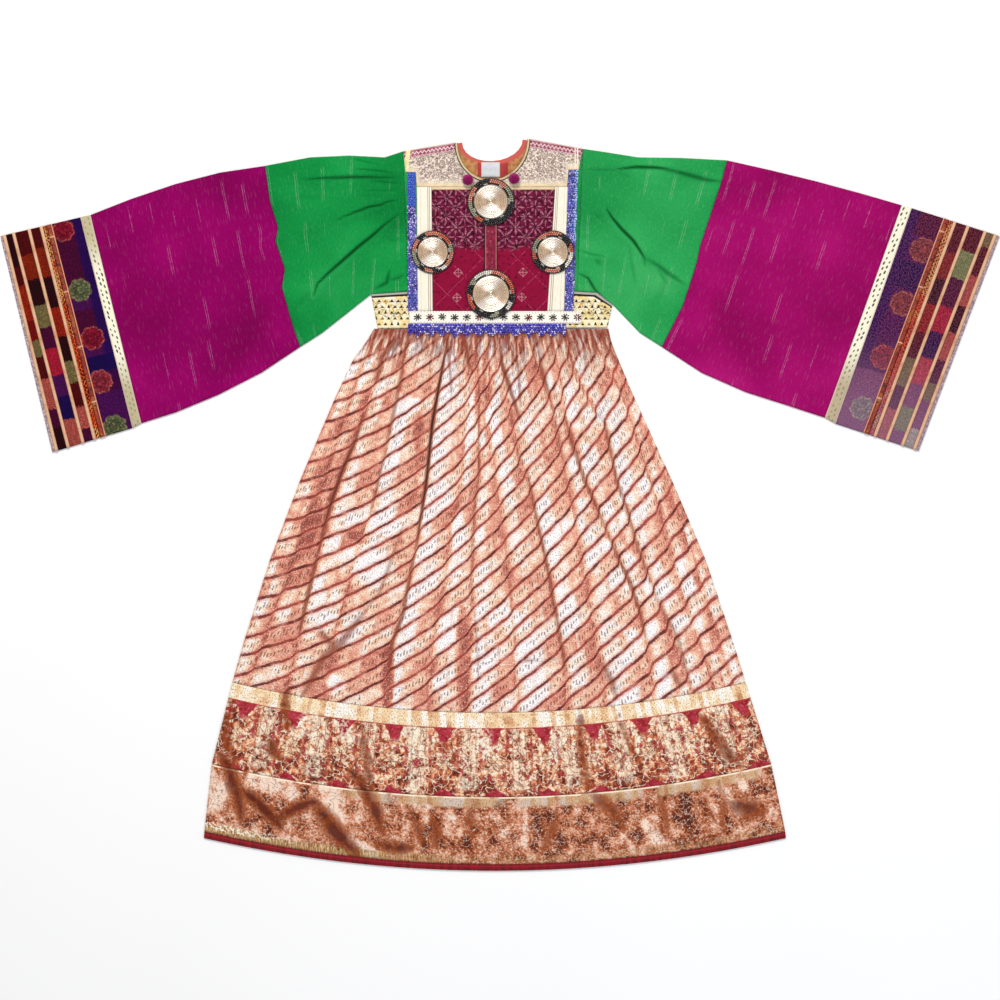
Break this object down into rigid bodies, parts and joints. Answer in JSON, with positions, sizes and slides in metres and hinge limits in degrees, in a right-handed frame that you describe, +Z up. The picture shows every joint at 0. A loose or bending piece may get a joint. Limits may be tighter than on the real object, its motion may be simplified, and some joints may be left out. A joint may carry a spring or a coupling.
{
  "type": "kuchi dress laid flat",
  "caption": "Festive long dress laid flat, with a gathered brocade skirt, embroidered front panel, metal medallions, bead edging and wide two-colour sleeves.",
  "frame": {"origin": "middle of the outline, on the surface that the dress lies on", "axes": "+X across the sleeves to the viewer's right, +Y from the hem to the neck, +Z up out of the front"},
  "size_m": [1.6496, 1.2079, 0.0235],
  "materials": {
    "skirt_brocade": "peach and gold brocade with slanting dark red lines",
    "border_brocade": "dark red brocade with gold columns and arches between two gold ribbons",
    "flounce_brocade": "rosy brown and gold brocade",
    "hem_binding": "crimson cotton binding",
    "striped_lining": "tan cotton with red stripes",
    "waistband_print": "cream cotton with dark printed marks",
    "patch_cotton": "plain pale cotton",
    "yoke_embroidery": "metal thread embroidery",
    "neck_cord": "corded cream edge",
    "velvet": "maroon velvet with pink and silver embroidery",
    "side_band": "cream embroidered band",
    "blue_beads": "glass seed beads in blue and violet",
    "flower_trim": "white trim with small green and red flowers",
    "placket": "crimson placket with pink marks",
    "medallion_metal": "bright pressed metal with rings",
    "rim_beads": "rows of glass beads in black, white, orange and grey green",
    "pompom_wool": "magenta wool",
    "green_cotton": "slubbed green cotton",
    "magenta_cotton": "slubbed magenta cotton",
    "sleeve_trim": "cream woven trim with dark dots",
    "cuff_cotton": "indigo cotton with embroidered flowers",
    "braid": "orange and gold braid",
    "piping": "cream and peach piping"
  },
  "bodies": {
    "root": {"skirt_front": "skirt_brocade", "skirt_back": "skirt_brocade", "skirt_border_front": "border_brocade", "skirt_border_back": "border_brocade", "skirt_flounce_front": "flounce_brocade", "skirt_flounce_back": "flounce_brocade", "hem_binding_front": "hem_binding", "hem_binding_back": "hem_binding", "bodice_front": "striped_lining", "bodice_back": "striped_lining", "waistband_front": "waistband_print", "waistband_back": "waistband_print", "neck_patch": "patch_cotton", "yoke": "yoke_embroidery", "neck_binding": "neck_cord", "velvet_panel": "velvet", "side_band_left": "side_band", "side_band_right": "side_band", "bead_edge_left": "blue_beads", "bead_edge_right": "blue_beads", "flower_trim": "flower_trim", "bead_fringe": "blue_beads", "placket": "placket", "medallion_top": "medallion_metal", "medallion_rim_top": "rim_beads", "medallion_left": "medallion_metal", "medallion_rim_left": "rim_beads", "medallion_right": "medallion_metal", "medallion_rim_right": "rim_beads", "medallion_bottom": "medallion_metal", "medallion_rim_bottom": "rim_beads", "pompom_left": "pompom_wool", "pompom_right": "pompom_wool", "sleeve_green_front_left": "green_cotton", "sleeve_green_back_left": "green_cotton", "sleeve_magenta_front_left": "magenta_cotton", "sleeve_magenta_back_left": "magenta_cotton", "sleeve_trim_front_left": "sleeve_trim", "sleeve_trim_back_left": "sleeve_trim", "cuff_front_left": "cuff_cotton", "cuff_back_left": "cuff_cotton", "cuff_braid_left": "braid", "cuff_piping_1_left": "piping", "cuff_piping_2_left": "piping", "cuff_piping_3_left": "piping", "cuff_piping_4_left": "piping", "sleeve_green_front_right": "green_cotton", "sleeve_green_back_right": "green_cotton", "sleeve_magenta_front_right": "magenta_cotton", "sleeve_magenta_back_right": "magenta_cotton", "sleeve_trim_front_right": "sleeve_trim", "sleeve_trim_back_right": "sleeve_trim", "cuff_front_right": "cuff_cotton", "cuff_back_right": "cuff_cotton", "cuff_braid_right": "braid", "cuff_piping_1_right": "piping", "cuff_piping_2_right": "piping", "cuff_piping_3_right": "piping", "cuff_piping_4_right": "piping"}
  },
  "joints": []
}
